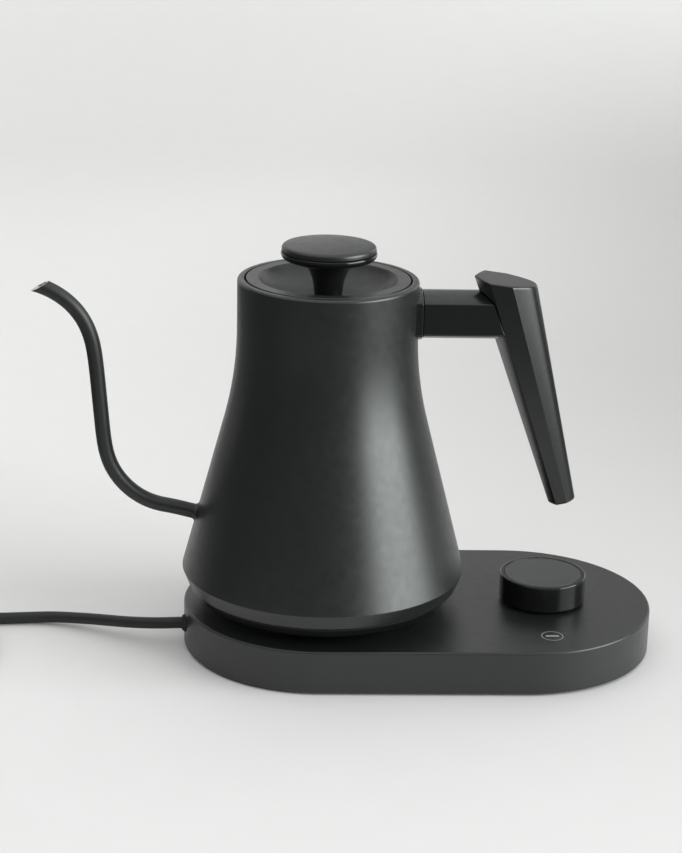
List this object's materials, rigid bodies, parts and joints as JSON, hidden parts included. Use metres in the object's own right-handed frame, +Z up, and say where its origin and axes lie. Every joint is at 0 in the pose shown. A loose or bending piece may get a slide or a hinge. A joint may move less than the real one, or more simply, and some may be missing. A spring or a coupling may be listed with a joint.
{
  "type": "electric kettle",
  "caption": "Gooseneck electric kettle with a lift-out dished lid and an open handle, on a long rounded power base with a turn-and-press dial, touch key and mains lead.",
  "frame": {"origin": "middle of the object's box at its underside, on the plane that its feet stand on, lead and plug left out", "axes": "+X along the base from the kettle towards the dial and handle, with the spout at -X; +Y away from the side with the touch key; +Z up"},
  "size_m": [0.4107, 0.1929, 0.2023],
  "materials": {
    "coat": "matt charcoal powder coat",
    "plastic": "fine matt moulding",
    "gloss": "polished black",
    "steel": "bare stainless steel",
    "rubber": "soft matt rubber",
    "copper": "plated contact metal",
    "board": "printed circuit board",
    "screen": "smoked clear window",
    "silicone": "grey silicone",
    "pvc": "soft black lead"
  },
  "bodies": {
    "power_base": {"base_housing": "coat", "base_tray": "plastic", "base_foot_1": "rubber", "base_foot_2": "rubber", "base_foot_3": "rubber", "base_foot_4": "rubber", "base_screw_1": "steel", "base_screw_2": "steel", "base_screw_3": "steel", "base_screw_4": "steel", "power_connector": "plastic", "centre_contact": "copper", "ring_contact": "copper", "power_board": "board", "board_relay": "plastic", "board_capacitor": "gloss", "control_board": "board", "dial_encoder": "steel", "touch_pad": "rubber", "touch_key": "coat", "cord_gland": "rubber", "power_cord": "pvc", "cord_coil": "pvc", "cord_tie": "rubber", "cord_tail": "pvc", "plug_body": "pvc", "plug_blade_1": "steel", "plug_blade_2": "steel", "plug_earth_pin": "steel"},
    "dial_core": {"dial_stem": "plastic", "display_module": "plastic", "display_lens": "screen"},
    "dial": {"dial_ring": "gloss"},
    "socket": {"kettle_socket": "plastic", "socket_pin": "copper", "socket_ring": "copper"},
    "kettle": {"kettle_shell": "coat", "kettle_floor": "steel", "heating_element": "steel", "bottom_cover": "plastic", "cover_screw_1": "steel", "cover_screw_2": "steel", "cover_screw_3": "steel", "temperature_probe": "steel", "thermal_cutout": "plastic", "spout_tube": "coat", "handle_flange": "coat", "handle_bracket": "steel", "handle_arm": "coat", "arm_screw": "steel", "handle_grip": "coat"},
    "lid": {"lid_plate": "coat", "lid_liner": "plastic", "lid_seal": "silicone", "lid_screw": "steel", "knob_base": "gloss", "knob_cap": "coat"}
  },
  "joints": [
    {"name": "kettle_lift", "type": "slide", "parent": "power_base", "child": "socket", "axis": [0, 0, 1], "range_m": [0, 0.1]},
    {"name": "kettle_swivel", "type": "hinge", "parent": "socket", "child": "kettle", "pos_m": [-0.01132, 0, 0.03], "axis": [0, 0, 1], "continuous": true},
    {"name": "lid_lift", "type": "slide", "parent": "kettle", "child": "lid", "axis": [0, 0, 1], "range_m": [0, 0.06]},
    {"name": "dial_press", "type": "slide", "parent": "power_base", "child": "dial_core", "axis": [0, 0, -1], "range_m": [0, 0.0007], "stiffness_N_per_m": 3000, "springref_m": -0.0004},
    {"name": "dial_turn", "type": "hinge", "parent": "dial_core", "child": "dial", "pos_m": [0.09788, 0, 0.03], "axis": [0, 0, 1], "continuous": true}
  ]
}
